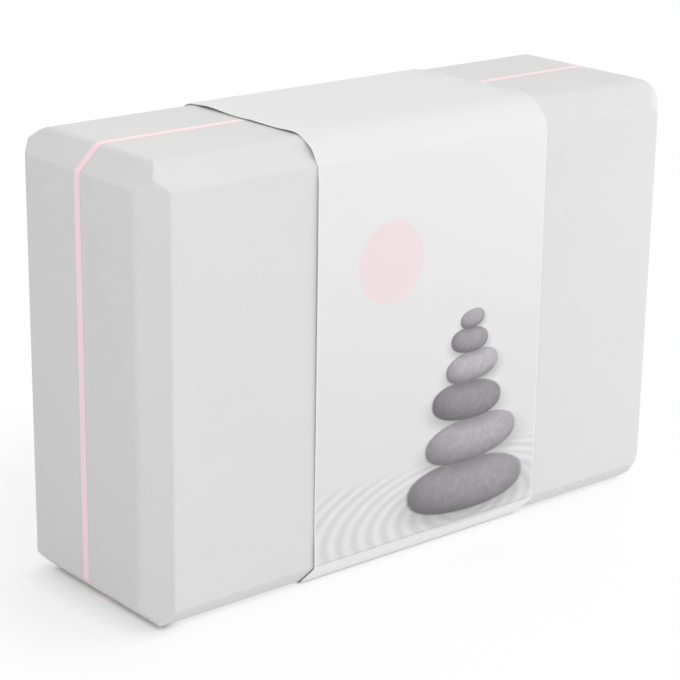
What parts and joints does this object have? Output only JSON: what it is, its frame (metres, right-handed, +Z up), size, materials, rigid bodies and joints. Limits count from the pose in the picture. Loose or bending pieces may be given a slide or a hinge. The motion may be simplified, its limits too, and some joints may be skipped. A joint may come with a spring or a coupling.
{
  "type": "yoga block",
  "caption": "Rectangular closed-cell foam yoga block with bevelled edges, a thin coloured sheet laminated at mid-depth and a removable printed card sleeve.",
  "frame": {"origin": "centre of the underside of the card sleeve, on the surface that the block stands on", "axes": "+X along the block's length, +Y from the front broad face to the rear one, +Z up"},
  "size_m": [0.228, 0.0781, 0.1539],
  "materials": {
    "grey_foam": "matte",
    "pink_foam": "matte",
    "adhesive": "satin",
    "printed_card": "gloss"
  },
  "bodies": {
    "block": {"front_slab": "grey_foam", "front_bond": "adhesive", "stripe_sheet": "pink_foam", "rear_bond": "adhesive", "rear_slab": "grey_foam"},
    "sleeve": {"sleeve": "printed_card", "lap_glue": "adhesive"}
  },
  "joints": [
    {"name": "sleeve_slide", "type": "slide", "parent": "block", "child": "sleeve", "axis": [1, 0, 0], "range_m": [-0.17, 0.17]}
  ]
}
